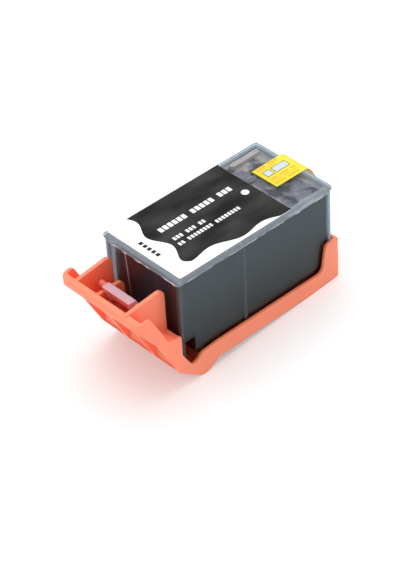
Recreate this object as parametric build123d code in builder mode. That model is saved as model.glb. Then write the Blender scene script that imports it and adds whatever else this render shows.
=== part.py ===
from build123d import *
import math
import os

os.makedirs("parts", exist_ok=True)

# An ink cartridge standing label up on its push-on transport clip. X is the width, the latch end
# faces -Y and +Z is up. The origin is on the mid-plane, at the height of the clip's foot, halfway
# along the whole length. Distances called back are measured from the lid's front edge, and those
# called margin, hold and overhang from its rear edge.

# Driving dimensions of the tank, in millimetres
tank_width = 38.0
tank_length = 73.2
tank_height = 36.8
tank_wall = 1.2
tank_corner = 1.0
slot_length = 4.55
slot_roof = 11.5
slot_heel = 4.7
heel_angle = 36.5
skirt_bottom = 3.0
partition_back = 30.3
partition_gap = 3.0
shaft_width = 3.6
shaft_depth = 5.4
shaft_wall = 0.8

# Driving dimensions of the ink outlet
outlet_back = 9.0
outlet_bore = 3.0
outlet_tube_wall = 1.3
outlet_drop = 2.2
standpipe = 7.0
filter_thickness = 0.3
seal_ring_height = 2.8
seal_ring_hole = 1.2
part_fit = 0.05

# Driving dimensions of the latch lever
latch_width = 14.0
latch_thickness = 1.5
latch_lean = 30.5
latch_root = 11.5
latch_top = 29.8
latch_head_depth = 3.3
latch_head_height = 7.5
latch_head_slant = 22.0
latch_frame = 1.3
latch_recess = 0.7
latch_pin_radius = 1.2
latch_pin_reach = 4.1
latch_pin_height = 27.4

# Driving dimensions of the lid, its label and its vent
lid_overhang = 0.4
lid_plate = 1.0
lid_skirt = 1.4
lid_skirt_width = 1.9
lid_corner = 1.0
vent_hole = 1.2
vent_x = -6.1
vent_margin = 16.4
vent_groove = 0.7
vent_groove_depth = 0.35
groove_step = 1.4
groove_reach = 5.6
membrane_radius = 2.4
membrane_thickness = 0.15
fill_hole = 2.5
fill_back = 12.0
fill_boss_wall = 1.3
label_thickness = 0.12
label_front_margin = 2.0
label_side_margin = 1.1
label_rear_margin = 19.3
tab_width = 12.8
tab_x = -0.9
tab_hold = 13.8
tab_overhang = 6.0
tab_droop = 7.7
tab_thickness = 0.2
absorber_width = 2.2
absorber_length = 13.7

# Driving dimensions of the chip
chip_width = 12.0
chip_height = 7.6
chip_board_thickness = 0.6
chip_tape_thickness = 0.1
chip_lift = 0.5
contact_count = 5
contact_width = 1.6
contact_height = 3.4
contact_thickness = 0.04
die_width = 3.2
die_height = 2.4
die_depth = 0.7
die_room = 0.2

# Driving dimensions of the transport clip
clip_wall = 1.2
clip_fit = 0.3
clip_floor = 1.35
clip_rear_wall = 1.4
clip_rear_gap = 0.5
rail_drop = 1.2
rail_height = 6.95
rail_rise = 1.1
rail_rise_length = 14.0
foot_drop = 3.65
foot_flat = 3.0
foot_angle = 36.0
foot_wall = 1.4
rail_ease = 0.6
rail_heel = 1.2
dip_ahead = 2.4
dip_drop = 4.15
dip_rise = 8.0
dip_run = 4.5
dip_length = 12.0
post_length = 8.3
post_height = 18.45
post_lean = 2.0
lip_reach = 19.5
lip_wall = 2.4
lip_height = 2.6
lip_bottom = 35.0
lip_corner = 3.2
cheek_rise = 0.8
cheek_front = 3.9
cheek_top_length = 1.8
cheek_slope = 64.2
cheek_step = 24.0
cheek_ledge = 1.2
knee_run = 8.85
knee_rise = 17.5
front_wall = 1.5
front_wall_gap = 1.4
scoop_set = 3.2
scoop_drop = 12.2
scoop_wall = 1.3
toe_lip = 0.4
rib_thickness = 1.5
rib_room = 1.1
low_rib_x = 3.05
side_rib_top = 32.0
bay_rib_left_x = -6.5
bay_rib_right_x = 7.7
bay_rib_thickness = 1.3
edge_round = 0.4
ledge_round = 1.0
cheek_round = 1.8
post_round = 2.2
dip_round = 3.0
foot_round = 4.2
rail_round = 6.0
wing_left_x = -14.65
wing_right_x = 12.35
wing_left_tops = (37.2, 39.4)
wing_right_tops = (38.2, 40.0)
wing_corner = 2.5
seal_seat_wall = 1.2
pad_radius = 4.2
pad_thickness = 1.0

# Heights above the surface that the clip's foot stands on
floor_top = foot_drop + rail_drop + clip_floor
tank_bottom = floor_top
tank_top = tank_bottom + tank_height
lid_bottom = tank_top + lid_skirt
lid_top = lid_bottom + lid_plate
roof = tank_bottom + slot_roof
heel_top = tank_bottom + slot_heel

# Distances back from the lid's front edge
tank_front = lid_overhang
tank_rear = tank_front + tank_length
slot_front = tank_front + tank_wall
slot_rear = slot_front + slot_length
heel_end = slot_rear + slot_heel / math.tan(math.radians(heel_angle))
lid_length = tank_length + 2 * lid_overhang
lid_width = tank_width + 2 * lid_overhang
vent_back = lid_length - vent_margin
tab_front = lid_length - tab_hold
tab_reach = lid_length + tab_overhang
partition_rear = partition_back + tank_wall

# The whole length runs from the clip's lip to the pull tab's tip, and its middle is at Y = 0
front = (lip_reach - tab_reach) / 2
side = Plane(origin=(0, front, 0), x_dir=(0, 1, 0), z_dir=(1, 0, 0))


def level(height):
    """Horizontal plane at a height, with its Y counted back from the lid's front edge."""
    return Plane(origin=(0, front, height))


def facing_front(back):
    """Upright plane that looks forward, with X mirrored, at a distance back."""
    return Plane(origin=(0, front + back, 0), x_dir=(1, 0, 0), z_dir=(0, -1, 0))


def chamber_outline(gap, start, end, top):
    """Side outline of the tank's inside between two distances back, held off its walls by a gap."""
    heel = math.radians(heel_angle)
    ceiling = roof + tank_wall + gap
    bottom = tank_bottom + tank_wall + gap
    step = slot_rear + tank_wall + gap
    toe = (tank_wall + gap) / math.cos(heel)
    toe_height = heel_top + toe - (tank_wall + gap) * math.tan(heel)
    toe_end = step + (toe_height - bottom) / math.tan(heel)
    return [
        (start, top),
        (start, ceiling),
        (step, ceiling),
        (step, toe_height),
        (toe_end, bottom),
        (end, bottom),
        (end, top),
    ]


# Tank: one translucent moulding with its partition, air shaft, outlet tube, chip skirt and latch
inner_front = tank_front + tank_wall
inner_rear = tank_rear - tank_wall
inner_half = tank_width / 2 - tank_wall
outlet_bottom = tank_bottom - outlet_drop
standpipe_top = tank_bottom + standpipe
tube_radius = outlet_bore + outlet_tube_wall
lean = math.radians(latch_lean)
latch_base = tank_bottom + latch_root
latch_peak = tank_bottom + latch_top
latch_skew = latch_thickness / math.sin(lean)
latch_run = (latch_peak - latch_base - latch_skew) * math.tan(lean)
head_back = tank_front - latch_run
head_low = latch_peak - latch_head_height
head_front = head_back - latch_head_depth
head_slope = math.tan(math.radians(latch_head_slant))
head_slant = latch_head_height * head_slope
frame_drop = latch_frame * head_slope
arm_front = tank_front - (head_low - latch_base) * math.tan(lean)
pin_height = tank_bottom + latch_pin_height
pin_back = (head_back + head_front) / 2 + (latch_peak - pin_height) * math.tan(lean)

with BuildPart() as tank:
    with BuildSketch(side):
        with BuildLine():
            Polyline(
                (tank_front, tank_top),
                (tank_front, tank_bottom + skirt_bottom),
                (slot_front, tank_bottom + skirt_bottom),
                (slot_front, roof),
                (slot_rear, roof),
                (slot_rear, heel_top),
                (heel_end, tank_bottom),
                (tank_rear, tank_bottom),
                (tank_rear, tank_top),
                close=True,
            )
        make_face()
    extrude(amount=tank_width / 2, both=True)
    corners = tank.edges().filter_by(Axis.Z)
    outer_corners = corners.filter_by(lambda edge: abs(abs(edge.center().X) - tank_width / 2) < part_fit)
    end_corners = outer_corners.sort_by(Axis.Y)
    fillet([end_corners[0], end_corners[1], end_corners[-1], end_corners[-2]], tank_corner)
    with BuildSketch(side):
        with BuildLine():
            Polyline(*chamber_outline(0, inner_front, inner_rear, tank_top + lid_skirt), close=True)
        make_face()
    extrude(amount=inner_half, both=True, mode=Mode.SUBTRACT)
    # The partition leaves a way through at the bottom for the ink
    with BuildSketch(level(tank_bottom + tank_wall + partition_gap)):
        with Locations((0, partition_back + tank_wall / 2)):
            Rectangle(2 * inner_half, tank_wall)
    extrude(amount=tank_top - tank_bottom - tank_wall - partition_gap)
    # Air shaft in the front left corner
    with BuildSketch(level(roof + tank_wall)):
        with Locations((-inner_half + shaft_width / 2, inner_front + shaft_depth / 2)):
            Rectangle(shaft_width, shaft_depth)
            Rectangle(shaft_width - 2 * shaft_wall, shaft_depth - 2 * shaft_wall, mode=Mode.SUBTRACT)
    extrude(amount=tank_top - roof - tank_wall)
    with BuildSketch(level(outlet_bottom)):
        with Locations((0, outlet_back)):
            Circle(tube_radius)
    extrude(amount=standpipe_top - outlet_bottom)
    with BuildSketch(level(outlet_bottom)):
        with Locations((0, outlet_back)):
            Circle(outlet_bore)
    extrude(amount=standpipe_top - outlet_bottom, mode=Mode.SUBTRACT)
    # Latch lever, a sprung strip that leans out from the foot of the front wall to a thick head
    with BuildSketch(side):
        with BuildLine():
            Polyline(
                (tank_front + tank_wall / 2, latch_base),
                (tank_front, latch_base),
                (arm_front, head_low),
                (head_front + head_slant, head_low),
                (head_front, latch_peak),
                (head_back, latch_peak),
                (tank_front, latch_base + latch_skew),
                (tank_front + tank_wall / 2, latch_base + latch_skew),
                close=True,
            )
        make_face()
    extrude(amount=latch_width / 2, both=True)
    # Recess in the face of the head, framed at the top and both sides
    with BuildSketch(side):
        with BuildLine():
            Polyline(
                (head_front + head_slant, head_low),
                (head_front + frame_drop, latch_peak - latch_frame),
                (head_front + frame_drop + latch_recess, latch_peak - latch_frame),
                (head_front + head_slant + latch_recess, head_low),
                close=True,
            )
        make_face()
    extrude(amount=latch_width / 2 - latch_frame, both=True, mode=Mode.SUBTRACT)
    with BuildSketch(side):
        with Locations((pin_back, pin_height)):
            Circle(latch_pin_radius)
    extrude(amount=latch_width / 2 + latch_pin_reach, both=True)
    # Pocket behind the chip for the bead of resin over its die
    with BuildSketch(facing_front(tank_front)):
        with Locations((0, tank_bottom + skirt_bottom + chip_lift + chip_height / 2)):
            Rectangle(die_width + 2 * die_room, die_height + 2 * die_room)
    extrude(amount=-(die_depth + die_room - chip_tape_thickness), mode=Mode.SUBTRACT)

tank.part.label = "tank"
export_step(tank.part, "parts/tank.step")

# Lid: a clear plate with a welding ring, a vent hole with its groove and a filling hole
lid_middle = lid_length / 2
groove_line = [
    (vent_x, vent_back),
    (vent_x, tab_front + groove_step),
    (vent_x + groove_reach, tab_front + groove_step),
    (vent_x + groove_reach, tab_front + 3 * groove_step),
    (vent_x + groove_step, tab_front + 3 * groove_step),
]

with BuildPart() as lid:
    with BuildSketch(level(lid_bottom)):
        with Locations((0, lid_middle)):
            RectangleRounded(lid_width, lid_length, lid_corner)
    extrude(amount=lid_plate)
    with BuildSketch(level(tank_top)):
        with Locations((0, lid_middle)):
            RectangleRounded(tank_width, tank_length, tank_corner)
            Rectangle(
                tank_width - 2 * lid_skirt_width,
                tank_length - 2 * lid_skirt_width,
                mode=Mode.SUBTRACT,
            )
    extrude(amount=lid_skirt)
    with BuildSketch(level(tank_top)):
        with Locations((0, fill_back)):
            Circle(fill_hole + fill_boss_wall)
    extrude(amount=lid_skirt)
    with BuildSketch(level(tank_top)):
        with Locations((0, fill_back)):
            Circle(fill_hole)
        with Locations((vent_x, vent_back)):
            Circle(vent_hole)
    extrude(amount=lid_top - tank_top, mode=Mode.SUBTRACT)
    with BuildSketch(level(lid_top)):
        with BuildLine():
            Polyline(*groove_line)
        trace(line_width=vent_groove)
    extrude(amount=-vent_groove_depth, mode=Mode.SUBTRACT)

lid.part.label = "lid"
export_step(lid.part, "parts/lid.step")

# Filling plug, pressed into the lid's boss once the tank is full
with BuildPart() as fill_plug:
    with BuildSketch(level(tank_top + part_fit)):
        with Locations((0, fill_back)):
            Circle(fill_hole)
    extrude(amount=lid_top - tank_top - part_fit)
    chamfer(fill_plug.faces().sort_by(Axis.Z)[0].edges(), tank_wall / 3)

fill_plug.part.label = "fill_plug"
export_step(fill_plug.part, "parts/fill_plug.step")

# Vent membrane, a disc welded under the vent hole
with BuildPart() as vent_membrane:
    with BuildSketch(level(lid_bottom)):
        with Locations((vent_x, vent_back)):
            Circle(membrane_radius)
    extrude(amount=-membrane_thickness)

vent_membrane.part.label = "vent_membrane"
export_step(vent_membrane.part, "parts/vent_membrane.step")

# Label on the lid, flush with its left edge and short of its right one
label_width = lid_width - label_side_margin
label_length = lid_length - label_front_margin - label_rear_margin

with BuildPart() as top_label:
    with BuildSketch(level(lid_top)):
        with Locations((-label_side_margin / 2, label_front_margin + label_length / 2)):
            RectangleRounded(label_width, label_length, lid_corner)
    extrude(amount=label_thickness)

top_label.part.label = "top_label"
export_step(top_label.part, "parts/top_label.step")

# Pull tab over the end of the vent groove, flat on the lid and drooping past its rear edge
tab_level = lid_top + tab_thickness / 2

with BuildPart() as vent_pull_tab:
    with BuildSketch(side.offset(tab_x - tab_width / 2)):
        with BuildLine():
            FilletPolyline(
                (tab_front, tab_level),
                (lid_length + tab_overhang / 8, tab_level),
                (lid_length + tab_overhang / 2, tab_level - tab_droop / 3),
                (tab_reach, tab_level - tab_droop),
                radius=tab_overhang / 3,
            )
        trace(line_width=tab_thickness)
    extrude(amount=tab_width)

vent_pull_tab.part.label = "vent_pull_tab"
export_step(vent_pull_tab.part, "parts/vent_pull_tab.step")

# Foam block that fills the rear chamber, up to the lid's ring
foam_top = tank_top - part_fit
foam_half = inner_half - part_fit
foam_front = partition_rear + part_fit
foam_rear = inner_rear - part_fit
foam_bottom = tank_bottom + tank_wall

with BuildPart() as foam_block:
    with BuildSketch(level(foam_bottom)):
        with Locations((0, (foam_front + foam_rear) / 2)):
            RectangleRounded(2 * foam_half, foam_rear - foam_front, tank_corner)
    extrude(amount=foam_top - foam_bottom)

foam_block.part.label = "foam_block"
export_step(foam_block.part, "parts/foam_block.step")

# Dry felt strip on the foam's left edge, inside the lid's ring
ring_half = tank_width / 2 - lid_skirt_width - part_fit
ring_rear = tank_rear - lid_skirt_width - part_fit

with BuildPart() as vent_absorber:
    with BuildSketch(level(foam_top)):
        with Locations((-ring_half + absorber_width / 2, ring_rear - absorber_length / 2)):
            RectangleRounded(absorber_width, absorber_length, absorber_width / 2 - part_fit)
    extrude(amount=lid_bottom - foam_top - part_fit)

vent_absorber.part.label = "vent_absorber"
export_step(vent_absorber.part, "parts/vent_absorber.step")

# Free ink in the front chamber, round the air shaft and the standpipe
with BuildPart() as ink_charge:
    with BuildSketch(side):
        with BuildLine():
            Polyline(
                *chamber_outline(
                    part_fit, inner_front + part_fit, partition_back - part_fit, tank_top - part_fit
                ),
                close=True,
            )
        make_face()
    extrude(amount=inner_half - part_fit, both=True)
    with BuildSketch(level(roof)):
        with Locations((-inner_half + shaft_width / 2, inner_front + shaft_depth / 2)):
            Rectangle(shaft_width + 2 * part_fit, shaft_depth + 2 * part_fit)
    extrude(amount=tank_top - roof, mode=Mode.SUBTRACT)
    with BuildSketch(level(tank_bottom)):
        with Locations((0, outlet_back)):
            Circle(tube_radius + part_fit)
    extrude(amount=standpipe + part_fit, mode=Mode.SUBTRACT)

ink_charge.part.label = "ink_charge"
export_step(ink_charge.part, "parts/ink_charge.step")

# Outlet filter, a woven disc across the top of the standpipe
with BuildPart() as outlet_filter:
    with BuildSketch(level(standpipe_top)):
        with Locations((0, outlet_back)):
            Circle(outlet_bore)
    extrude(amount=-filter_thickness)

outlet_filter.part.label = "outlet_filter"
export_step(outlet_filter.part, "parts/outlet_filter.step")

# Wick in the outlet tube, between the filter and the seal ring
seal_top = outlet_bottom + seal_ring_height

with BuildPart() as outlet_wick:
    with BuildSketch(level(seal_top)):
        with Locations((0, outlet_back)):
            Circle(outlet_bore - part_fit)
    extrude(amount=standpipe_top - filter_thickness - seal_top)

outlet_wick.part.label = "outlet_wick"
export_step(outlet_wick.part, "parts/outlet_wick.step")

# Elastic ring that seals round the needle in the outlet's mouth
with BuildPart() as outlet_seal_ring:
    with BuildSketch(level(outlet_bottom)):
        with Locations((0, outlet_back)):
            Circle(outlet_bore)
            Circle(seal_ring_hole, mode=Mode.SUBTRACT)
    extrude(amount=seal_ring_height)
    mouth = outlet_seal_ring.edges().filter_by(GeomType.CIRCLE).group_by(Axis.Z)[0].sort_by(SortBy.RADIUS)[0]
    chamfer(mouth, seal_ring_hole / 2)

outlet_seal_ring.part.label = "outlet_seal_ring"
export_step(outlet_seal_ring.part, "parts/outlet_seal_ring.step")

# Chip on the front of the skirt: tape, board, contacts and the die's bead of resin behind
chip_middle = tank_bottom + skirt_bottom + chip_lift + chip_height / 2
board_back = tank_front - chip_tape_thickness
board_front = board_back - chip_board_thickness

with BuildPart() as chip_tape:
    with BuildSketch(facing_front(tank_front)):
        with Locations((0, chip_middle)):
            Rectangle(chip_width, chip_height)
            Rectangle(die_width + 2 * die_room, die_height + 2 * die_room, mode=Mode.SUBTRACT)
    extrude(amount=chip_tape_thickness)

chip_tape.part.label = "chip_tape"
export_step(chip_tape.part, "parts/chip_tape.step")

with BuildPart() as chip_board:
    with BuildSketch(facing_front(board_back)):
        with Locations((0, chip_middle)):
            RectangleRounded(chip_width, chip_height, chip_lift)
    extrude(amount=chip_board_thickness)

chip_board.part.label = "chip_board"
export_step(chip_board.part, "parts/chip_board.step")

contact_pitch = (chip_width - contact_width) / contact_count

with BuildPart() as chip_contacts:
    with BuildSketch(facing_front(board_front)):
        with Locations((0, chip_middle)):
            with GridLocations(contact_pitch, 0, contact_count, 1):
                RectangleRounded(contact_width, contact_height, contact_width / 4)
    extrude(amount=contact_thickness)

chip_contacts.part.label = "chip_contacts"
export_step(chip_contacts.part, "parts/chip_contacts.step")

with BuildPart() as chip_die:
    with BuildSketch(facing_front(board_back)):
        with Locations((0, chip_middle)):
            RectangleRounded(die_width, die_height, die_height / 3)
    extrude(amount=-die_depth)
    fillet(chip_die.faces().sort_by(Axis.Y)[-1].edges(), die_depth / 2)

chip_die.part.label = "chip_die"
export_step(chip_die.part, "parts/chip_die.step")

# Transport clip: its side outline, back from the lid's front edge and up from the foot
clip_half = tank_width / 2 + clip_fit + clip_wall
cavity_half = tank_width / 2 + clip_fit
clip_rear = tank_rear + clip_rear_gap + clip_rear_wall
lip_top = lip_bottom + lip_height
cheek_top = lip_top + cheek_rise
rail_top = foot_drop + rail_height
post_top = foot_drop + post_height
foot_slope = math.tan(math.radians(foot_angle))
foot_front = outlet_back - foot_flat / 2
foot_rear = outlet_back + foot_flat / 2
wall_inner = tank_front - front_wall_gap
wall_outer = wall_inner - front_wall
toe_back = wall_outer - toe_lip
toe_height = (foot_front - toe_back) * foot_slope
cheek_knee = -lip_reach + cheek_front + cheek_top_length
cheek_foot = cheek_knee + (cheek_top - cheek_step) / math.tan(math.radians(cheek_slope))
dip_back = slot_rear - dip_ahead
dip_height = rail_top - dip_drop
rail_end = foot_drop + rail_rise
scoop_high = lip_top - scoop_set
scoop_low = scoop_high - scoop_drop
lip_inner = -lip_reach + lip_wall
scoop_slope = scoop_drop / (wall_outer - lip_inner)
scoop_skew = scoop_wall * math.hypot(1, scoop_slope)
foot_skew = foot_wall * math.hypot(1, foot_slope)
floor_start = foot_rear + floor_top / foot_slope
window_half = latch_width / 2 + rib_room
seat_top = outlet_bottom - pad_thickness
window_skew = rib_room / math.sin(lean)
window_low = head_low - rib_room
window_knee = tank_front - (window_low - latch_base + window_skew) * math.tan(lean)
window_front = head_front + head_slant - rib_room
bay_floor = toe_height + toe_lip
bays = [
    (-cavity_half, bay_rib_left_x - bay_rib_thickness / 2),
    (bay_rib_left_x + bay_rib_thickness / 2, bay_rib_right_x - bay_rib_thickness / 2),
    (bay_rib_right_x + bay_rib_thickness / 2, cavity_half),
]
lip_middle = lip_inner - lip_wall / 2
gusset_rear = head_front - 2 * rib_room
side_rib_start = lip_inner + (scoop_high - side_rib_top) / scoop_slope
wings = [
    (wing_left_x, lip_middle, wing_left_tops),
    (wing_right_x, lip_middle, wing_right_tops),
    (-window_half - rib_thickness / 2, side_rib_start, (side_rib_top, side_rib_top)),
]

# Each corner of the side outline with its rounding
clip_outline = [
    ((-lip_reach, lip_bottom), ledge_round),
    ((-lip_reach, lip_top), ledge_round),
    ((-lip_reach + cheek_front, cheek_top), ledge_round),
    ((cheek_knee, cheek_top), cheek_round),
    ((cheek_foot, cheek_step), ledge_round),
    ((wall_inner, cheek_step - cheek_ledge), edge_round),
    ((wall_inner, dip_height + dip_rise), cheek_round),
    ((dip_back, dip_height), post_round),
    ((dip_back + dip_run, rail_top - rail_ease), dip_round),
    ((dip_back + dip_length, rail_top), rail_round),
    ((clip_rear - post_length, rail_top), dip_round),
    ((clip_rear - post_length + post_lean, post_top), post_round),
    ((clip_rear, post_top), edge_round),
    ((clip_rear, rail_end + rail_ease), edge_round),
    ((clip_rear - rail_heel, rail_end), ledge_round),
    ((clip_rear - rail_rise_length, foot_drop), rail_round),
    ((foot_rear + foot_drop / foot_slope, foot_drop), dip_round),
    ((foot_rear, 0), foot_round),
    ((foot_front, 0), foot_round),
    ((toe_back, toe_height), dip_round),
    ((toe_back - knee_run, toe_height + knee_rise), rail_round),
]

with BuildPart() as clip_hollow:
    with BuildSketch(side):
        with BuildLine():
            Polyline(
                (lip_inner, lid_top),
                (lip_inner, scoop_high),
                (wall_outer, scoop_low),
                (wall_inner, scoop_low),
                (wall_inner, (foot_front - wall_inner) * foot_slope + foot_skew),
                (foot_front + (foot_skew - foot_wall) / foot_slope, foot_wall),
                (foot_rear - (foot_skew - foot_wall) / foot_slope, foot_wall),
                (foot_rear + (floor_top - foot_skew) / foot_slope, floor_top),
                (clip_rear - clip_rear_wall, floor_top),
                (clip_rear - clip_rear_wall, lid_top),
                close=True,
            )
        make_face()
    extrude(amount=cavity_half, both=True)
    inner_corners = clip_hollow.edges().filter_by(Axis.Z).group_by(Axis.Y)[0]
    fillet(inner_corners, lip_corner - lip_wall)
    # A round seat in the foot stays for the seal pad, with a shallow pocket over it
    with BuildSketch(level(0)):
        with Locations((0, outlet_back)):
            Circle(pad_radius + seal_seat_wall)
    extrude(amount=seat_top, mode=Mode.SUBTRACT)
    with BuildSketch(level(seat_top)):
        with Locations((0, outlet_back)):
            Circle(pad_radius + clip_fit / 2)
    extrude(amount=2 * pad_thickness)

with BuildPart() as transport_clip:
    with BuildSketch(side):
        with BuildLine():
            FilletPolyline(
                *[corner for corner, rounding in clip_outline],
                close=True,
                radius=[rounding for corner, rounding in clip_outline],
            )
        make_face()
    extrude(amount=clip_half, both=True)
    with BuildSketch(level(0)):
        with Locations((0, (clip_rear - lip_reach) / 2)):
            RectangleRounded(2 * clip_half, clip_rear + lip_reach, lip_corner)
        with Locations((0, (clip_rear + foot_rear) / 2)):
            RectangleRounded(2 * clip_half, clip_rear - foot_rear, clip_wall / 2)
    extrude(amount=lid_top, mode=Mode.INTERSECT)
    add(clip_hollow.part, mode=Mode.SUBTRACT)
    # The floor plate is raised between the two rails
    with BuildSketch(level(0)):
        with Locations((0, (floor_start + clip_rear) / 2)):
            Rectangle(2 * cavity_half, clip_rear - floor_start)
    extrude(amount=foot_drop + rail_drop, mode=Mode.SUBTRACT)
    # Bays under the slanted scoop, between the cheeks and the two upright ribs
    for bay_start, bay_end in bays:
        with BuildSketch(side.offset(bay_start)):
            with BuildLine():
                Polyline(
                    (lip_inner, scoop_high - scoop_skew),
                    (wall_outer, scoop_low - scoop_skew),
                    (wall_outer, bay_floor),
                    (-lip_reach - lip_wall, bay_floor),
                    (-lip_reach - lip_wall, scoop_high - scoop_skew),
                    close=True,
                )
            make_face()
        extrude(amount=bay_end - bay_start, mode=Mode.SUBTRACT)
    # Window for the latch, which follows the lever's front face at a clearance
    with BuildSketch(side):
        with BuildLine():
            Polyline(
                (tank_front, latch_base - window_skew),
                (window_knee, window_low),
                (window_front, window_low),
                (head_front - rib_room, latch_peak),
                (head_front - rib_room, lid_top),
                (tank_front, lid_top),
                close=True,
            )
        make_face()
    extrude(amount=window_half, both=True, mode=Mode.SUBTRACT)
    # Tall wings that guide the tank's front face, and the rib beside the latch
    for wing_x, wing_start, (lip_side_top, tank_side_top) in wings:
        wing_low = scoop_high - (wing_start - lip_inner) * scoop_slope - scoop_wall
        with BuildSketch(side.offset(wing_x - rib_thickness / 2)) as wing:
            with BuildLine():
                Polyline(
                    (wing_start, wing_low),
                    (wing_start, lip_side_top),
                    (wall_inner, tank_side_top),
                    (wall_inner, scoop_low - scoop_wall),
                    (wall_outer, scoop_low - scoop_wall),
                    close=True,
                )
            make_face()
            fillet(max(wing.vertices(), key=lambda corner: corner.X + corner.Y), wing_corner)
        extrude(amount=rib_thickness)
    # Small gusset between the lip and the scoop
    with BuildSketch(side.offset(low_rib_x - rib_thickness / 2)):
        with BuildLine():
            Polyline(
                (lip_middle, lip_top - scoop_wall),
                (lip_inner + scoop_wall / 2, lip_top - scoop_wall),
                (gusset_rear, side_rib_top),
                (gusset_rear, scoop_high - (gusset_rear - lip_inner) * scoop_slope - scoop_wall),
                (lip_middle, scoop_high - scoop_wall),
                close=True,
            )
        make_face()
    extrude(amount=rib_thickness)

transport_clip.part.label = "transport_clip"
export_step(transport_clip.part, "parts/transport_clip.step")

# Seal pad between the outlet's mouth and the clip's foot
with BuildPart() as clip_seal_pad:
    with BuildSketch(level(seat_top)):
        with Locations((0, outlet_back)):
            Circle(pad_radius)
    extrude(amount=pad_thickness)

clip_seal_pad.part.label = "clip_seal_pad"
export_step(clip_seal_pad.part, "parts/clip_seal_pad.step")
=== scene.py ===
import math

import bpy
import numpy as np
from mathutils import Matrix, Vector


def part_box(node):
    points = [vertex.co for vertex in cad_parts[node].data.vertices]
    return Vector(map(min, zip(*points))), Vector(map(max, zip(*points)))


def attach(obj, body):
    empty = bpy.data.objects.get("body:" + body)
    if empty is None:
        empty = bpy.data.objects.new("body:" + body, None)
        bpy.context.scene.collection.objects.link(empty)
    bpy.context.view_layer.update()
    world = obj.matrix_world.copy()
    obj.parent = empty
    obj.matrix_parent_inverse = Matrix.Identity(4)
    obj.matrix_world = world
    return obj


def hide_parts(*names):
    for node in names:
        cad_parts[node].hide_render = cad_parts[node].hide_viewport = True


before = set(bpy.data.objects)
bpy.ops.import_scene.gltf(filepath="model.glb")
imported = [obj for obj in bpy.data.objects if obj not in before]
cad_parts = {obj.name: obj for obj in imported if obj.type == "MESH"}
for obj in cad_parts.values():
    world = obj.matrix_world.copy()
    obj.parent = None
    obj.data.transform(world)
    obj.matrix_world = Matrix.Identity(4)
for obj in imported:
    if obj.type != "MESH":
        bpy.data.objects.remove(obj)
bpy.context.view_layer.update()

# Tank: a box of clear polypropylene, injection moulded in one piece with its latch lever. Its
# walls are thin and glossy, and a partition and an air shaft stand inside. Sizes are in
# millimetres, and a shader, which reads metres, gets them times mm.
mm = 0.001
tank_front = -29.85
front_depth = 1.3
tank_half = 19.0
inner_half = 17.8
partition_middle = 0.65
partition_half = 0.7
shaft_right = -14.2
shaft_rear = -23.25
latch_half = 7.0
hair = 0.01
face_slack = 0.05


def linear(code):
    """Turns an sRGB hex colour into Blender's linear RGBA."""
    parts = [int(code[i : i + 2], 16) / 255 for i in (1, 3, 5)]
    return [c / 12.92 if c <= 0.04045 else ((c + 0.055) / 1.055) ** 2.4 for c in parts] + [1.0]


def add_node(tree, kind, inputs=None, stops=(), **settings):
    """Adds a shader node with its properties, its colour stops and its inputs. An input is a
    value, a socket to link, or a node, which is linked by its first output in use."""
    added = tree.nodes.new(kind)
    for name, value in settings.items():
        setattr(added, name, value)
    if stops:
        elements = added.color_ramp.elements
        for element, (position, colour) in zip(elements, (stops[0], stops[-1])):
            element.position = position
            element.color = linear(colour)
        for position, colour in stops[1:-1]:
            elements.new(position).color = linear(colour)
    for name, value in (inputs or {}).items():
        if isinstance(value, bpy.types.Node):
            value = next(socket for socket in value.outputs if socket.enabled)
        if isinstance(value, bpy.types.NodeSocket):
            tree.links.new(value, added.inputs[name])
        else:
            added.inputs[name].default_value = value
    return added


def finish_named(name, **sockets):
    """A new material: returns it with its tree and its Principled shader, sockets set."""
    material = bpy.data.materials.new(name)
    material.use_nodes = True
    shader = material.node_tree.nodes["Principled BSDF"]
    for label, value in sockets.items():
        shader.inputs[label.replace("_", " ")].default_value = value
    return material, material.node_tree, shader


def fine_bump(tree, shader, size_mm, depth_mm, detail=2.0, edge_mm=0.0):
    """Roughens a shader with noise of a real grain size and depth, in millimetres, over edges
    softened by a small radius where one is given. Returns the place on the object."""
    place = add_node(tree, "ShaderNodeTexCoord").outputs["Object"]
    grain = add_node(
        tree, "ShaderNodeTexNoise", {"Vector": place, "Scale": 1000 / size_mm, "Detail": detail}
    )
    bump = add_node(
        tree, "ShaderNodeBump", {"Height": grain, "Distance": depth_mm / 1000, "Strength": 1.0}
    )
    if edge_mm:
        edge = add_node(tree, "ShaderNodeBevel", {"Radius": edge_mm / 1000}, samples=6)
        tree.links.new(edge.outputs["Normal"], bump.inputs["Normal"])
    tree.links.new(bump.outputs["Normal"], shader.inputs["Normal"])
    return place


def face_centres(node_name):
    """Centres of a carried-over piece's faces, in millimetres."""
    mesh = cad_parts[node_name].data
    centres = np.empty(len(mesh.polygons) * 3)
    mesh.polygons.foreach_get("center", centres)
    return centres.reshape(-1, 3) * 1000


def face_normals(node_name):
    """Outward directions of a carried-over piece's faces."""
    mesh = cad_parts[node_name].data
    normals = np.empty(len(mesh.polygons) * 3)
    mesh.polygons.foreach_get("normal", normals)
    return normals.reshape(-1, 3)


def dress(node_name, *finishes, pick=None):
    """Gives a carried-over piece its finish, or each face the one of several that is picked."""
    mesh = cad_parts[node_name].data
    mesh.materials.clear()
    for finish in finishes:
        mesh.materials.append(finish)
    if pick is not None:
        mesh.polygons.foreach_set("material_index", pick.astype(np.int32))


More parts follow.
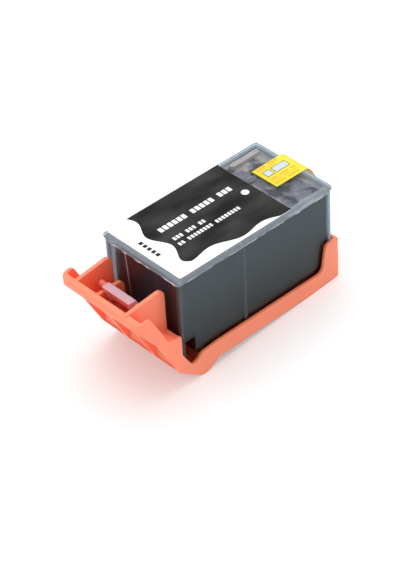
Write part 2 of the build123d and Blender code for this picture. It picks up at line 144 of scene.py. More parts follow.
# Clear polypropylene off a polished mould: the ink behind it gives the wall its colour. Its haze is
# painted light: the light that runs along it at the upright corners and the partition's edge is
# painted as milky bands, and a painted reflection makes a trace of haze grow towards its top. Each
# haze runs between two places, given as a pair.
side_painted_haze = (17.5, 17.8)
rear_painted_haze = (41.45, 41.85)
front_painted_haze = (-28.6, -28.9)
top_painted_reflection = (12.0, 38.0)
partition_painted_haze = (0.4, 0.7)
painted_corner_strength = 0.55
clear_wall, tree, shader = finish_named(
    "clear_polypropylene_moulded", Base_Color=linear("#aec4ce"), Roughness=0.07, IOR=1.3
)
place = fine_bump(tree, shader, size_mm=9.0, depth_mm=0.015)
axes = add_node(tree, "ShaderNodeSeparateXYZ", {"Vector": place}).outputs
aside = add_node(tree, "ShaderNodeMath", {0: axes["X"]}, operation="ABSOLUTE")
from_partition = add_node(
    tree, "ShaderNodeMath", {0: axes["Y"], 1: partition_middle * mm}, operation="SUBTRACT"
)
off_partition = add_node(tree, "ShaderNodeMath", {0: from_partition}, operation="ABSOLUTE")
in_side, in_rear, in_front, painted_reflection_rise, painted_partition_line = (
    add_node(
        tree,
        "ShaderNodeMapRange",
        {
            "Value": value,
            "From Min": painted_light_haze[0] * mm,
            "From Max": painted_light_haze[1] * mm,
            "To Min": start,
            "To Max": end,
        },
    )
    for value, painted_light_haze, start, end in (
        (aside, side_painted_haze, 0.0, 1.0),
        (axes["Y"], rear_painted_haze, 0.0, 1.0),
        (axes["Y"], front_painted_haze, 0.0, 0.6),
        (axes["Z"], top_painted_reflection, 0.0, 0.053),
        (off_partition, partition_painted_haze, 0.035, 0.0),
    )
)
# The corner bands, the partition line and the rise to the top are painted light, added up as haze.
in_end = add_node(tree, "ShaderNodeMath", {0: in_rear, 1: in_front}, operation="MAXIMUM")
painted_corner_light = add_node(tree, "ShaderNodeMath", {0: in_side, 1: in_end}, operation="MULTIPLY")
painted_light_haze = add_node(
    tree, "ShaderNodeMath", {0: painted_corner_light, 1: painted_corner_strength, 2: painted_reflection_rise}, operation="MULTIPLY_ADD"
)
painted_light_haze = add_node(tree, "ShaderNodeMath", {0: painted_light_haze, 1: painted_partition_line}, operation="ADD")
clear = add_node(tree, "ShaderNodeMath", {0: 1.0, 1: painted_light_haze}, operation="SUBTRACT")
tree.links.new(clear.outputs[0], shader.inputs["Transmission Weight"])

# The same plastic on the front wall, less polished, so that the ink shows through it softly. Its
# colour steps across the width, from the air shaft's blue grey to a warm middle and a dark right
# edge, which is painted shade at the corner; both corners are also clouded by the painted haze of
# the side walls.
clear_front, tree, shader = finish_named("clear_polypropylene_front", Roughness=0.2, IOR=1.24)
place = fine_bump(tree, shader, size_mm=9.0, depth_mm=0.015)
axes = add_node(tree, "ShaderNodeSeparateXYZ", {"Vector": place}).outputs
aside = add_node(tree, "ShaderNodeMath", {0: axes["X"]}, operation="ABSOLUTE")
clear = add_node(
    tree,
    "ShaderNodeMapRange",
    {
        "Value": aside,
        "From Min": side_painted_haze[0] * mm,
        "From Max": side_painted_haze[1] * mm,
        "To Min": 0.99,
        "To Max": 0.8,
    },
)
tree.links.new(clear.outputs[0], shader.inputs["Transmission Weight"])
across = add_node(
    tree,
    "ShaderNodeMapRange",
    {"Value": axes["X"], "From Min": -tank_half * mm, "From Max": tank_half * mm},
)
# The last stop is painted shade: the dark right corner.
tint_and_painted_edge = add_node(
    tree,
    "ShaderNodeValToRGB",
    {"Fac": across},
    stops=[(0.125, "#c6cdd6"), (0.142, "#ddd0d5"), (0.945, "#ddd0d5"), (0.962, "#878d97")],
)
tree.links.new(tint_and_painted_edge.outputs[0], shader.inputs["Base Color"])

# Inner walls of the same moulding, seen through the outer ones: a milky blue grey.
milky_inside, tree, shader = finish_named(
    "milky_polypropylene_inside",
    Base_Color=linear("#c9d0da"),
    Roughness=0.4,
    IOR=1.2,
    Transmission_Weight=0.4,
)
fine_bump(tree, shader, size_mm=4.0, depth_mm=0.01)

# The lever is thicker and satin and scatters light. Its front face gets a lighter copy of its
# colour, a painted glow for the orange light the clip throws on it, and its top a plainer one. Its
# pins, deep in the clip, are painted nearly orange by the same thrown light.
latch_finishes = []
for side_seen, colour in (("top", "#d2a6b0"), ("face_painted_glow", "#ffc6cf")):
    satin_latch, tree, shader = finish_named(
        "satin_polypropylene_latch_" + side_seen,
        Base_Color=linear(colour),
        Roughness=0.42,
        IOR=1.42,
        Transmission_Weight=0.1,
        Subsurface_Weight=0.4,
        Subsurface_Radius=(1.0, 0.6, 0.6),
        Subsurface_Scale=0.002,
    )
    fine_bump(tree, shader, size_mm=1.2, depth_mm=0.01, edge_mm=0.3)
    latch_finishes.append(satin_latch)
# The pins' orange is painted light, thrown on them by the clip round them.
pin_painted_orange, tree, shader = finish_named(
    "satin_polypropylene_pin_painted_orange",
    Base_Color=linear("#f6886f"),
    Roughness=0.5,
    IOR=1.4,
    Transmission_Weight=0.3,
)
fine_bump(tree, shader, size_mm=1.2, depth_mm=0.01)
centres = face_centres("tank")
x, y = centres[:, 0], centres[:, 1]
on_lever = y < tank_front - 2 * hair
on_pin = on_lever & (np.abs(x) > latch_half + hair)
# Faces of the lever that look forward get the painted glow.
on_painted_glow_face = on_lever & (face_normals("tank")[:, 1] < -0.5)
on_front = ~on_lever & (y < tank_front + front_depth)
inside = np.abs(x) < inner_half - hair
on_partition = inside & (np.abs(y - partition_middle) < partition_half)
on_shaft = inside & ~on_front & (x < shaft_right + face_slack) & (y < shaft_rear + face_slack)
finish = np.select(
    [on_pin, on_painted_glow_face, on_lever, on_front, on_partition | on_shaft], [5, 4, 3, 1, 2]
)
dress("tank", clear_wall, clear_front, milky_inside, *latch_finishes, pin_painted_orange, pick=finish)

# Ink charge: free black ink that fills the front chamber and wets its walls. It drains down
# the front, where it has left one narrow streak of wall dry and a fainter one farther right.
ink_front_depth = 1.4
film_heights = (26.0, 43.0)
streak_softness = 0.3
fade_below = 4.0
fade_above = 10.0
# Wet ink against the front wall: a maroon black that lightens towards the top, where the film
# of ink is thinnest. The streaks are its only pale marks.
ink_wet, tree, shader = finish_named("black_ink_wet", Roughness=0.45, IOR=1.2)
place = add_node(tree, "ShaderNodeTexCoord").outputs["Object"]
axes = add_node(tree, "ShaderNodeSeparateXYZ", {"Vector": place}).outputs
height = add_node(
    tree,
    "ShaderNodeMapRange",
    {"Value": axes["Z"], "From Min": film_heights[0] * mm, "From Max": film_heights[1] * mm},
)
skin = add_node(
    tree,
    "ShaderNodeMix",
    {"Factor": height, "A": linear("#180d12"), "B": linear("#3f2e37")},
    data_type="RGBA",
)
# Each streak has its place at the top, that height, its lean, half width, end and colour. Its
# sides are soft, and it fades out from a little above its end to a little below it.
for streak_x, streak_top, lean, half_width, streak_end, colour in (
    (-9.2, 42.6, 0.085, 0.3, 24.0, "#ffffff"),
    (6.6, 42.9, 0.0, 0.2, 33.5, "#a08e96"),
):
    middle = add_node(
        tree,
        "ShaderNodeMath",
        {0: axes["Z"], 1: -lean, 2: (streak_x + lean * streak_top) * mm},
        operation="MULTIPLY_ADD",
    )
    gap = add_node(tree, "ShaderNodeMath", {0: axes["X"], 1: middle}, operation="SUBTRACT")
    off = add_node(tree, "ShaderNodeMath", {0: gap}, operation="ABSOLUTE")
    strip = add_node(
        tree,
        "ShaderNodeMapRange",
        {
            "Value": off,
            "From Min": half_width * (1 - streak_softness) * mm,
            "From Max": half_width * (1 + streak_softness) * mm,
            "To Min": 1.0,
            "To Max": 0.0,
        },
    )
    fade = add_node(
        tree,
        "ShaderNodeMapRange",
        {
            "Value": axes["Z"],
            "From Min": (streak_end - fade_below) * mm,
            "From Max": (streak_end + fade_above) * mm,
        },
    )
    dry = add_node(tree, "ShaderNodeMath", {0: strip, 1: fade}, operation="MULTIPLY")
    skin = add_node(
        tree, "ShaderNodeMix", {"Factor": dry, "A": skin, "B": linear(colour)}, data_type="RGBA"
    )
tree.links.new(skin.outputs["Result"], shader.inputs["Base Color"])
# Still ink behind the side walls: a plain blue black.
ink_side, tree, shader = finish_named(
    "black_ink_still", Base_Color=linear("#0d0f10"), Roughness=0.6, IOR=1.1
)
fine_bump(tree, shader, size_mm=6.0, depth_mm=0.02)
at_front = face_centres("ink_charge")[:, 1] < tank_front + ink_front_depth
dress("ink_charge", ink_side, ink_wet, pick=at_front)

# Foam block: polyurethane foam that fills the rear chamber and holds most of the ink. It is
# pushed in from above before the lid is welded on, and soaks up the ink unevenly.
foam_top = 42.95
blotch_size = 5.4
# Its top shows wet slate cells and drier beige ones, in blotches a few millimetres wide.
foam_patchy, tree, shader = finish_named("polyurethane_foam_soaked", Roughness=0.85, IOR=1.2)
place = fine_bump(tree, shader, size_mm=0.6, depth_mm=0.15, detail=6.0)
blotch = add_node(
    tree,
    "ShaderNodeTexNoise",
    {
        "Vector": place,
        "Scale": 1000 / blotch_size,
        "Detail": 1.0,
        "Roughness": 0.45,
        "Distortion": 0.6,
    },
)
wet = add_node(
    tree,
    "ShaderNodeValToRGB",
    {"Fac": blotch},
    stops=[
        (0.42, "#4a4d5a"),
        (0.46, "#80828f"),
        (0.55, "#90919d"),
        (0.59, "#b4aba4"),
        (0.63, "#cdc1b6"),
    ],
)
tree.links.new(wet.outputs[0], shader.inputs["Base Color"])
# Its sides are soaked through, and as black as the ink.
foam_side, tree, shader = finish_named(
    "polyurethane_foam_black", Base_Color=linear("#0f1112"), Roughness=0.9, IOR=1.1
)
fine_bump(tree, shader, size_mm=0.6, depth_mm=0.05, detail=4.0)
on_top = face_centres("foam_block")[:, 2] > foam_top - face_slack
dress("foam_block", foam_side, foam_patchy, pick=on_top)

# Felt: pressed polyester, as a dry strip laid along the foam's left edge under the lid, and as
# the wick in the outlet. It is a matt beige grey, and its fibres are drawn coarser than real
# ones, so that they show.
felt_dry, tree, shader = finish_named(
    "polyester_felt_dry", Base_Color=linear("#d9d0c9"), Roughness=0.9
)
fine_bump(tree, shader, size_mm=0.3, depth_mm=0.1, detail=5.0)
dress("vent_absorber", felt_dry)
dress("outlet_wick", felt_dry)

# Lid: a clear moulded plate, welded on the tank by the ring under its rim, with a vent hole over
# a membrane. The ring's limits across and along are measured from the lid's middle.
lid_middle = 6.75
lid_ring_inner = (16.9, 34.5)
lid_ring_outer = (17.3, 34.9)
vent_place = np.array([-6.1, 27.35])
vent_edge = 1.25
# A milkier polypropylene than the tank's: its rim, thickened by the weld, reads as a pale blue
# grey, and its middle is almost clear.
lid_milky, tree, shader = finish_named("milky_polypropylene_lid", IOR=1.34)
place = fine_bump(tree, shader, size_mm=12.0, depth_mm=0.02, edge_mm=0.2)
axes = add_node(tree, "ShaderNodeSeparateXYZ", {"Vector": place}).outputs
from_middle = add_node(
    tree, "ShaderNodeMath", {0: axes["Y"], 1: lid_middle * mm}, operation="SUBTRACT"
)
edges = []
for distance, inner, outer in zip((axes["X"], from_middle), lid_ring_inner, lid_ring_outer):
    off = add_node(tree, "ShaderNodeMath", {0: distance}, operation="ABSOLUTE")
    limits = {"Value": off, "From Min": inner * mm, "From Max": outer * mm}
    edges.append(add_node(tree, "ShaderNodeMapRange", limits))
rim = add_node(tree, "ShaderNodeMath", {0: edges[0], 1: edges[1]}, operation="MAXIMUM")
cast = add_node(
    tree,
    "ShaderNodeMix",
    {"Factor": rim, "A": linear("#eceef1"), "B": linear("#c6d1dc")},
    data_type="RGBA",
)
tree.links.new(cast.outputs["Result"], shader.inputs["Base Color"])
for socket, gain, start in (("Transmission Weight", -0.27, 1.0), ("Roughness", 0.08, 0.03)):
    level = add_node(tree, "ShaderNodeMath", {0: rim, 1: gain, 2: start}, operation="MULTIPLY_ADD")
    tree.links.new(level.outputs[0], shader.inputs[socket])
in_vent = np.linalg.norm(face_centres("lid")[:, :2] - vent_place, axis=1) < vent_edge
dress("lid", lid_milky, milky_inside, pick=in_vent)

# Weld flash: the ragged bead of plastic that squeezes out between the lid and the tank when
# the lid is welded. It is thickest along the front. A jag is the step between two heights.
tank_rear = 43.35
tank_corner = 1.0
seam_height = 43.0
flash_radius = 0.06
flash_front_radius = 0.12
flash_rise = 0.1
flash_front_rise = 0.36
front_zone = 0.3
seam_points = 900
thickness_jag = 1.9
short_jag = 0.8
long_jag = 3.1
random = np.random.default_rng(11)


def zigzag(along, step):
    """Straight jags between random heights from -1 to 1, a step apart along a line."""
    knots = np.arange(0, along[-1] + 2 * step, step)
    return np.interp(along, knots, random.uniform(-1, 1, len(knots)))


def new_piece(name, points_mm, faces, finish, smooth=True):
    """Puts worked-out points, in millimetres, and faces into a mesh that rides on the object."""
    mesh = bpy.data.meshes.new(name)
    mesh.from_pydata((points_mm / 1000).tolist(), [], faces.tolist())
    mesh.polygons.foreach_set("use_smooth", np.full(len(mesh.polygons), smooth))
    mesh.materials.append(finish)
    piece = bpy.data.objects.new(name, mesh)
    bpy.context.scene.collection.objects.link(piece)
    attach(piece, "root")
    return piece


def tube_along(name, line, outward, radius, lift, around, finish):
    """A closed tube round a closed line in the plane: each point of the line gets a ring that
    runs from its outward normal up and round, with a radius and a lift of its own."""
    turn = np.linspace(0, 2 * np.pi, around, endpoint=False)
    level = np.cos(turn)[None, :, None] * outward[:, None, :]
    upright = np.sin(turn)[None, :, None] * np.array([0, 0, 1])
    points = line[:, None, :] + radius[:, None, None] * (level + upright)
    points[:, :, 2] += lift[:, None]
    index = np.arange(len(line) * around).reshape(len(line), around)
    ahead = np.roll(index, -1, axis=0)
    faces = np.stack(
        [index, ahead, np.roll(ahead, -1, axis=1), np.roll(index, -1, axis=1)], axis=-1
    )
    return new_piece(name, points.reshape(-1, 3), faces.reshape(-1, 4), finish)


# Solid polypropylene, torn and unpolished, whitened by the tearing; its pure white also holds a
# painted glint, so it catches the light as a broken white line.
flash_white_painted_glint, tree, shader = finish_named(
    "polypropylene_weld_flash", Base_Color=linear("#ffffff"), Roughness=0.3, Transmission_Weight=0.1
)
fine_bump(tree, shader, size_mm=0.8, depth_mm=0.03)
# The seam is the tank's outline: a quarter circle at each corner, turned a quarter each time,
# joined by straight lines and then divided evenly.
turn = np.linspace(0, np.pi / 2, 7)
quarter = tank_corner * np.stack([np.cos(turn), np.sin(turn)], axis=1)
inset = np.array([tank_half - tank_corner, (tank_rear - tank_front) / 2 - tank_corner])
signs = [(1, 1), (-1, 1), (-1, -1), (1, -1)]
turns = [np.array([[c, -s], [s, c]]) for c, s in ((1, 0), (0, 1), (-1, 0), (0, -1))]
loop = np.concatenate(
    [np.array(sign) * inset + quarter @ rotation.T for sign, rotation in zip(signs, turns)]
)
loop = np.vstack([loop, loop[:1]])
lengths = np.concatenate([[0], np.cumsum(np.linalg.norm(np.diff(loop, axis=0), axis=1))])
along = np.linspace(0, lengths[-1], seam_points, endpoint=False)
seam = np.stack([np.interp(along, lengths, loop[:, k]) for k in (0, 1)], axis=1)
seam[:, 1] += (tank_rear + tank_front) / 2
heading = np.roll(seam, -1, axis=0) - np.roll(seam, 1, axis=0)
heading /= np.linalg.norm(heading, axis=1)[:, None]
outward = np.stack([heading[:, 1], -heading[:, 0], np.zeros(len(seam))], axis=1)
at_front = seam[:, 1] < tank_front + front_zone
thick = np.where(at_front, flash_front_radius, flash_radius)
thick = thick * np.clip(0.9 + 1.5 * zigzag(along, thickness_jag), 0.15, 1.7)
rise = np.where(at_front, flash_front_rise, flash_rise)
rise = rise * (0.7 * zigzag(along, short_jag) + 0.3 * zigzag(along, long_jag))
line = np.column_stack([seam, np.full(len(seam), seam_height)])
flash = tube_along("weld_flash", line, outward, thick, rise, 6, flash_white_painted_glint)

# Small pieces inside: a silicone stopper in the filling hole and a pad under the outlet, a
# steel filter and an elastomer ring in the outlet, and a membrane welded under the vent hole.
# The membrane's disc bites a hair into the clear lid, so that no clear face lies in its own.
disc_bite = 0.03


def plate(name, grid, thickness, finish):
    """A thin closed plate: the grid is its upper face, and the same grid lowered by the
    thickness is its lower one, with a rim of quads round both."""
    across, down = grid.shape[:2]
    top = grid.reshape(-1, 3)
    points = np.vstack([top, top - np.array([0, 0, thickness])])
    index = np.arange(across * down).reshape(across, down)
    upper = np.stack([index[:-1, :-1], index[1:, :-1], index[1:, 1:], index[:-1, 1:]], axis=-1)
    upper = upper.reshape(-1, 4)
    edge = np.concatenate([index[:-1, 0], index[-1, :-1], index[:0:-1, -1], index[0, :0:-1]])
    after = np.roll(edge, -1)
    lower = len(top)
    sides = np.stack([edge + lower, after + lower, after, edge], axis=-1)
    faces = np.vstack([upper, upper[:, ::-1] + lower, sides])
    return new_piece(name, points, faces, finish, smooth=False)


def round_plate(name, middle, radius, level, thickness, finish):
    """A thin closed disc: a square grid, squeezed into a circle, is its upper face."""
    a, b = np.meshgrid(np.linspace(-1, 1, 21), np.linspace(-1, 1, 21), indexing="ij")
    x = middle[0] + radius * a * np.sqrt(1 - b**2 / 2)
    y = middle[1] + radius * b * np.sqrt(1 - a**2 / 2)
    return plate(name, np.stack([x, y, np.full_like(x, level)], axis=-1), thickness, finish)


# Moulded silicone: a soft, matt, warm grey.
silicone, tree, shader = finish_named(
    "silicone_rubber_moulded", Base_Color=linear("#cfccc5"), Roughness=0.55
)
fine_bump(tree, shader, size_mm=0.5, depth_mm=0.01)
dress("fill_plug", silicone)
dress("clip_seal_pad", silicone)
# Stretched fluoropolymer film: a matt grey under the lid. Its even tooth is drawn coarser than
# the film's pores, so that it shows.
membrane, tree, shader = finish_named(
    "ptfe_membrane", Base_Color=linear("#8d8f9b"), Roughness=0.6
)
fine_bump(tree, shader, size_mm=0.2, depth_mm=0.01)
dress("vent_membrane", membrane)
membrane_low, membrane_high = (np.array(edge) * 1000 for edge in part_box("vent_membrane"))
vent_disc = round_plate(
    "vent_membrane_disc",
    (membrane_low + membrane_high)[:2] / 2,
    (membrane_high - membrane_low)[0] / 2,
    membrane_high[2] + disc_bite,
    membrane_high[2] + disc_bite - membrane_low[2],
    membrane,
)
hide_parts("vent_membrane")
# Woven stainless wire: a bright grey metal, broken up by its mesh, which is drawn coarser than
# the real weave, so that it shows.
mesh_steel, tree, shader = finish_named(
    "woven_steel_filter", Base_Color=linear("#9a9a9a"), Metallic=1.0, Roughness=0.4
)
fine_bump(tree, shader, size_mm=0.3, depth_mm=0.05)
dress("outlet_filter", mesh_steel)
# Moulded elastomer: a dull black with no gloss of its own.
elastomer, tree, shader = finish_named(
    "elastomer_black_moulded", Base_Color=linear("#1b1b1c"), Roughness=0.6
)
fine_bump(tree, shader, size_mm=0.4, depth_mm=0.01)
dress("outlet_seal_ring", elastomer)

# Chip: a small circuit board stuck on the skirt with foam tape, with gold contacts on its outer
# face and a bead of epoxy over the die on its inner one, in a pocket of the skirt.
# Solder mask over copper: a semi-gloss dark green.
board_mask, tree, shader = finish_named(
    "solder_mask_green", Base_Color=linear("#1c5a34"), Roughness=0.35
)
fine_bump(tree, shader, size_mm=1.0, depth_mm=0.01)
dress("chip_board", board_mask)
# Gold plate on copper pads: a bright yellow metal with a slightly uneven shine.
gold, tree, shader = finish_named(
    "gold_plated_contact", Base_Color=linear("#d9ab4a"), Metallic=1.0, Roughness=0.25
)
fine_bump(tree, shader, size_mm=0.5, depth_mm=0.005)
dress("chip_contacts", gold)
# Poured epoxy: semi-gloss black, with the gentle waves of a drop that set by itself.
resin, tree, shader = finish_named("epoxy_bead_black", Base_Color=linear("#101011"), Roughness=0.3)
fine_bump(tree, shader, size_mm=1.5, depth_mm=0.02)
dress("chip_die", resin)
# Foam tape: a matt white edge behind the board.
tape_white, tree, shader = finish_named(
    "foam_tape_white", Base_Color=linear("#d8d8d4"), Roughness=0.8
)
fine_bump(tree, shader, size_mm=0.4, depth_mm=0.02)
dress("chip_tape", tape_white)

# Transport clip: one moulding that is pushed on from below and keeps the outlet shut until the
# cartridge is used. Its edges are rounded by the mould.
# Orange polypropylene lets a little light in, so its shaded sides glow a deeper red than its lit
# ones. The mould's satin grain dulls its highlights, and is drawn coarser so that it shows.
clip_orange, tree, shader = finish_named(
    "orange_polypropylene_moulded",
    Base_Color=linear("#ff8562"),
    Roughness=0.36,
    IOR=1.62,
    Subsurface_Weight=0.7,
    Subsurface_Radius=(1.0, 0.2, 0.1),
    Subsurface_Scale=0.003,
)
fine_bump(tree, shader, size_mm=0.35, depth_mm=0.005, detail=4.0, edge_mm=0.45)
dress("transport_clip", clip_orange)

# Label: printed polypropylene film stuck on the lid. Its white ground shows at the front and on
# the right, past the wavy edge of a black field, with rows of plain dashes printed over both.
label_left = -19.4
label_right = 18.26
label_rear = 24.4
label_surface = 45.52
print_step = 0.025
print_depth = 0.05
print_margin = 0.05
wave_start = -20.0
sheen_streak_width = 9.0
dash_pitch = 2.2
dash_length = 1.45
front_row = (-25.5, -23.9)
dot_place = (-0.4, 20.0)
dot_radius = 1.5
# White film: bright and satin, and very slightly uneven where it lies on the glue.
label_white, tree, shader = finish_named(
    "label_film_white", Base_Color=linear("#f6f6f5"), Roughness=0.4
)
fine_bump(tree, shader, size_mm=8.0, depth_mm=0.02)
dress("top_label", label_white)
# Black print on a film that isn't quite flat: soft grey streaks about 9 mm wide and two and a half
# times as long run over it aslant, a painted sheen for the film's reflections.
print_black, tree, shader = finish_named("print_black_satin", Roughness=0.42, IOR=1.2)
place = fine_bump(tree, shader, size_mm=8.0, depth_mm=0.03)
drawn = add_node(
    tree, "ShaderNodeMapping", {"Vector": place, "Rotation": (0, 0, 0.5), "Scale": (1, 0.4, 1)}
)
painted_sheen_noise = add_node(
    tree, "ShaderNodeTexNoise", {"Vector": drawn, "Scale": 1000 / sheen_streak_width, "Detail": 2.0}
)
# Grey streaks: painted sheen.
print_with_painted_sheen = add_node(
    tree, "ShaderNodeValToRGB", {"Fac": painted_sheen_noise}, stops=[(0.35, "#10110e"), (0.7, "#393a38")]
)
tree.links.new(print_with_painted_sheen.outputs[0], shader.inputs["Base Color"])
# White print: as bright as the film, and a little warmer.
print_white, tree, shader = finish_named(
    "print_white_satin", Base_Color=linear("#f2f2f0"), Roughness=0.4
)
fine_bump(tree, shader, size_mm=8.0, depth_mm=0.02)


def front_wave(x):
    """Front edge of the black field: a cosine across the label round a middle line, plus a cube
    that lifts it at its right end."""
    middle, height, crest, length = -19.6, 1.7, -15.5, 18.5
    lift, lift_start, lift_length = 2.6, 10.8, 3.6
    raised = lift * np.clip((x - lift_start) / lift_length, 0, 1) ** 3
    return middle + height * np.cos(2 * np.pi * (x - crest) / length) + raised


def right_wave(y):
    """Right edge of the black field: a leaning line plus a cosine, kept on the label."""
    foot, lean, depth, length = 12.9, 0.13, 1.25, 22
    leaning = foot + lean * (y - wave_start)
    wave = depth * np.cos(2 * np.pi * (y - wave_start) / length)
    return np.minimum(leaning + wave, label_right)


def dashes(name, low, high, level, thickness, finish):
    """Flat blocks between pairs of corners: each pair gives eight points and six quads."""
    low, high = np.atleast_2d(low), np.atleast_2d(high)
    x = np.stack([low[:, 0], high[:, 0]], axis=1)[:, [0, 1, 1, 0, 0, 1, 1, 0]]
    y = np.stack([low[:, 1], high[:, 1]], axis=1)[:, [0, 0, 1, 1, 0, 0, 1, 1]]
    z = np.broadcast_to(level - thickness * np.array([1, 1, 1, 1, 0, 0, 0, 0]), x.shape)
    block = np.array(
        [[3, 2, 1, 0], [4, 5, 6, 7], [0, 1, 5, 4], [1, 2, 6, 5], [2, 3, 7, 6], [3, 0, 4, 7]]
    )
    faces = (block[None] + 8 * np.arange(len(x))[:, None, None]).reshape(-1, 4)
    return new_piece(name, np.stack([x, y, z], axis=-1).reshape(-1, 3), faces, finish, smooth=False)


def row_of_dashes(x0, x1, start, end, pitch, gap, blanks):
    """A row along Y between two x: a dash at every pitch, shorter by the gap, but none at the
    numbers given as blanks. Returns the dashes' low and high corners."""
    at = np.arange(start, end - pitch + gap, pitch)
    at = at[np.isin(np.arange(len(at)), blanks, invert=True)]
    low = np.column_stack([np.full(len(at), x0), at])
    return low, np.column_stack([np.full(len(at), x1), at + pitch - gap])


# The black field is a grid: one parameter runs from its left edge to the wave on its right, the
# other from the wave at its front to its straight rear edge.
u, v = np.meshgrid(np.linspace(0, 1, 110), np.linspace(0, 1, 70), indexing="ij")
front_line = front_wave(label_left + u * (right_wave(wave_start) - label_left))
field_y = front_line + v * (label_rear - front_line)
field_width = right_wave(field_y) - label_left - 2 * print_margin
field_x = label_left + print_margin + u * field_width
field = np.stack([field_x, field_y, np.full_like(u, label_surface + print_step)], axis=-1)
black_field = plate("label_black_field", field, print_depth, print_black)
print_level = label_surface + 2 * print_step
rows = [
    row_of_dashes(-7.1, -4.7, -15.8, 19.4, 2.15, 0.55, (6, 12)),
    row_of_dashes(0.1, 1.9, -15.4, 0.0, 1.5, 0.5, (3, 7)),
    row_of_dashes(3.6, 5.3, -16.0, 13.6, 1.45, 0.5, (2, 11)),
]
row_low, row_high = (np.vstack(ends) for ends in zip(*rows))
white_rows = dashes("label_white_dashes", row_low, row_high, print_level, print_depth, print_white)
dash_x = np.arange(-6.2, 4.2, dash_pitch)
row_low = np.column_stack([dash_x, np.full_like(dash_x, front_row[0])])
row_high = np.column_stack([dash_x + dash_length, np.full_like(dash_x, front_row[1])])
black_row = dashes("label_black_dashes", row_low, row_high, print_level, print_depth, print_black)
dot = round_plate(
    "label_white_dot", dot_place, dot_radius, print_level, print_depth, print_white
)

# Pull tab: polyester film stuck over the end of the vent groove and pulled off before use. It
# lies flat on the lid and droops off its rear edge, and rows of amber dashes are printed on it
# beside two framed pale blocks.
tab_middle = -0.9
tab_half = 6.4
tab_front = 29.95
tab_bend = 43.9
tab_tip = 49.75
tab_droop = 7.6
droop_power = 2.2
lid_top = 45.4
tab_rise = 0.16
tab_surface = lid_top + tab_rise
tab_thickness = 0.14
print_lift = 0.012
ink_depth = 0.03
block_depth = 0.02
border = 0.28
block_low = np.array([(-3.8, 32.0), (-3.8, 36.2)])
block_high = np.array([(-0.9, 34.9), (-0.9, 42.4)])
# Yellow film: thin and glossy, and it clears towards its loose tip, where light comes through it
# from behind. Towards the tip its colour lightens and warms to a pale amber, a painted glare of
# that light.
tab_film, tree, shader = finish_named("polyester_film_yellow", Roughness=0.32, IOR=1.15)
place = fine_bump(tree, shader, size_mm=7.0, depth_mm=0.03)
axes = add_node(tree, "ShaderNodeSeparateXYZ", {"Vector": place}).outputs
whole, loose = (
    add_node(
        tree,
        "ShaderNodeMapRange",
        {"Value": axes["Y"], "From Min": start * mm, "From Max": tab_tip * mm, "To Max": most},
    )
    for start, most in ((tab_front, 1.0), (tab_bend, 0.85))
)
painted_glare_tint = add_node(
    tree,
    "ShaderNodeValToRGB",
    {"Fac": whole},
    stops=[(0.0, "#dccb3c"), (0.7, "#eedb42"), (1.0, "#fbd08a")],
)
tree.links.new(painted_glare_tint.outputs[0], shader.inputs["Base Color"])
tree.links.new(loose.outputs[0], shader.inputs["Transmission Weight"])


def droop(y):
    """Height of the tab's face: level to the bend, then falling by a power of the way from the
    bend to the tip."""
    past_bend = np.clip((y - tab_bend) / (tab_tip - tab_bend), 0, 1)
    return tab_surface - tab_droop * past_bend**droop_power


tab_x, tab_y = np.meshgrid(
    np.linspace(tab_middle - tab_half, tab_middle + tab_half, 9),
    np.linspace(tab_front, tab_tip, 60),
    indexing="ij",
)
tab_grid = np.stack([tab_x, tab_y, droop(tab_y)], axis=-1)
tab = plate("pull_tab_film", tab_grid, tab_thickness, tab_film)
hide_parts("vent_pull_tab")
# Inks printed on the film, each flat and satin: amber, a pale blue grey and slate.
tab_inks = []
for ink_name, colour in (("amber", "#e39a1c"), ("pale_grey", "#c3cfd8"), ("slate", "#3f464c")):
    tab_ink, tree, shader = finish_named(
        "print_" + ink_name, Base_Color=linear(colour), Roughness=0.4
    )
    fine_bump(tree, shader, size_mm=7.0, depth_mm=0.02)
    tab_inks.append(tab_ink)
print_amber, print_pale, print_slate = tab_inks
tab_print = tab_surface + print_lift
rows = [
    row_of_dashes(3.5, 4.3, 31.0, 43.4, 1.3, 0.35, (4,)),
    row_of_dashes(2.2, 2.7, 31.2, 43.4, 0.9, 0.25, (5, 9)),
    row_of_dashes(0.7, 1.5, 31.4, 43.4, 1.1, 0.3, (3, 8)),
    row_of_dashes(-5.4, -4.9, 31.4, 39.5, 0.9, 0.3, (4,)),
    row_of_dashes(-6.8, -5.9, 31.2, 41.5, 1.5, 0.5, (3,)),
]
row_low, row_high = (np.vstack(ends) for ends in zip(*rows))
amber_rows = dashes("tab_amber_dashes", row_low, row_high, tab_print, ink_depth, print_amber)
frames = dashes(
    "tab_slate_frames", block_low - border, block_high + border, tab_print, ink_depth, print_slate
)
blocks = dashes(
    "tab_pale_blocks", block_low, block_high, tab_print + print_lift, block_depth, print_pale
)

# Floor: a plain sheet of white card. It slopes so that it touches both the clip's foot and the
# rear ends of its rails, which the object leans back on. Both are measured from the lid's front.
lid_front = -30.25
foot_back = 9.0
rail_rear = 60.5
foot_lift = 3.65
floor_half = 1.5
glow_share = 0.2
white = (1.0, 1.0, 1.0, 1.0)
slope = foot_lift / (rail_rear - foot_back)
foot_y = (lid_front + foot_back) * mm


def sees_background(tree):
    """One for rays from the camera and for those that mirror or pass a surface, else nought."""
    rays = add_node(tree, "ShaderNodeLightPath").outputs
    through = add_node(
        tree,
        "ShaderNodeMath",
        {0: rays["Is Glossy Ray"], 1: rays["Is Transmission Ray"]},
        operation="MAXIMUM",
    )
    return add_node(
        tree, "ShaderNodeMath", {0: rays["Is Camera Ray"], 1: through}, operation="MAXIMUM"
    )


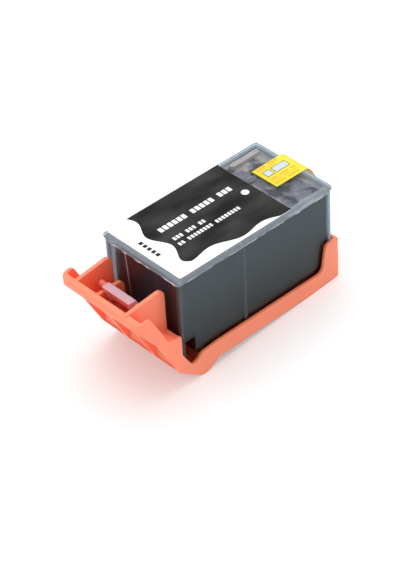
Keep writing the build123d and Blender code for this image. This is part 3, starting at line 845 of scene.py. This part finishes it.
floor_mesh = bpy.data.meshes.new("floor")
floor_corner = np.array([(-1, -1), (1, -1), (1, 1), (-1, 1)]) * floor_half
floor_points = np.c_[floor_corner, (floor_corner[:, 1] - foot_y) * slope]
floor_mesh.from_pydata(floor_points.tolist(), [], [(0, 1, 2, 3)])
floor = bpy.data.objects.new("floor", floor_mesh)
bpy.context.scene.collection.objects.link(floor)
# Matt card: a fifth of it is plain white to the eye, so that it runs into the white room and
# still keeps the object's shadow.
paper, tree, shader = finish_named("paper_white", Base_Color=linear("#f2f2f2"), Roughness=0.9)
glow = add_node(tree, "ShaderNodeEmission", {"Color": white, "Strength": 1.0})
share = add_node(
    tree, "ShaderNodeMath", {0: sees_background(tree), 1: glow_share}, operation="MULTIPLY"
)
sheet = add_node(
    tree, "ShaderNodeMixShader", {0: share, 1: shader.outputs["BSDF"], 2: glow.outputs["Emission"]}
)
tree.links.new(sheet.outputs[0], tree.nodes["Material Output"].inputs["Surface"])
floor_mesh.materials.append(paper)

# Light: a pale room with one wide soft light, high above the object and a little to its left.
sun_direction = Vector((-0.16, 0.06, 1.0))
world = bpy.data.worlds.new("studio")
world.use_nodes = True
bpy.context.scene.world = world
tree = world.node_tree
room = tree.nodes["Background"]
room.inputs["Color"].default_value = white
room.inputs["Strength"].default_value = 1.0
seen = add_node(tree, "ShaderNodeBackground", {"Color": white, "Strength": 1.0})
mix = add_node(tree, "ShaderNodeMixShader", {0: sees_background(tree), 1: room, 2: seen})
tree.links.new(mix.outputs[0], tree.nodes["World Output"].inputs["Surface"])
sun = bpy.data.lights.new("overhead", "SUN")
sun.energy = 1.1
sun.angle = math.radians(50)
overhead = bpy.data.objects.new("overhead", sun)
overhead.rotation_euler = sun_direction.to_track_quat("Z", "Y").to_euler()
bpy.context.scene.collection.objects.link(overhead)

# Camera: the view solved from the lid's corners and the body's edges, seen from the right of
# the latch end and from above, with a small roll.
camera_azimuth = math.radians(49.391)
camera_elevation = math.radians(39.545)
camera_roll = math.radians(-3.656)
camera_distance = 0.722046
camera_target = Vector((0.0254397, -0.0257351, 0.0454))
focal_pixels = 2161.294
frame_long_side = 570
camera = bpy.data.cameras.new("camera")
camera.sensor_fit = "AUTO"
camera.sensor_width = 36.0
camera.lens = focal_pixels / frame_long_side * camera.sensor_width
camera.clip_start = 0.01
eye = bpy.data.objects.new("camera", camera)
bpy.context.scene.collection.objects.link(eye)
back = Vector(
    (
        math.sin(camera_azimuth) * math.cos(camera_elevation),
        -math.cos(camera_azimuth) * math.cos(camera_elevation),
        math.sin(camera_elevation),
    )
)
level_right = Vector((math.cos(camera_azimuth), math.sin(camera_azimuth), 0.0))
level_up = back.cross(level_right)
right = level_right * math.cos(camera_roll) + level_up * math.sin(camera_roll)
up = level_up * math.cos(camera_roll) - level_right * math.sin(camera_roll)
rotation = Matrix((right, up, back)).transposed().to_4x4()
eye.matrix_world = Matrix.Translation(camera_target + back * camera_distance) @ rotation
bpy.context.scene.camera = eye
bpy.context.scene.view_settings.view_transform = "Standard"
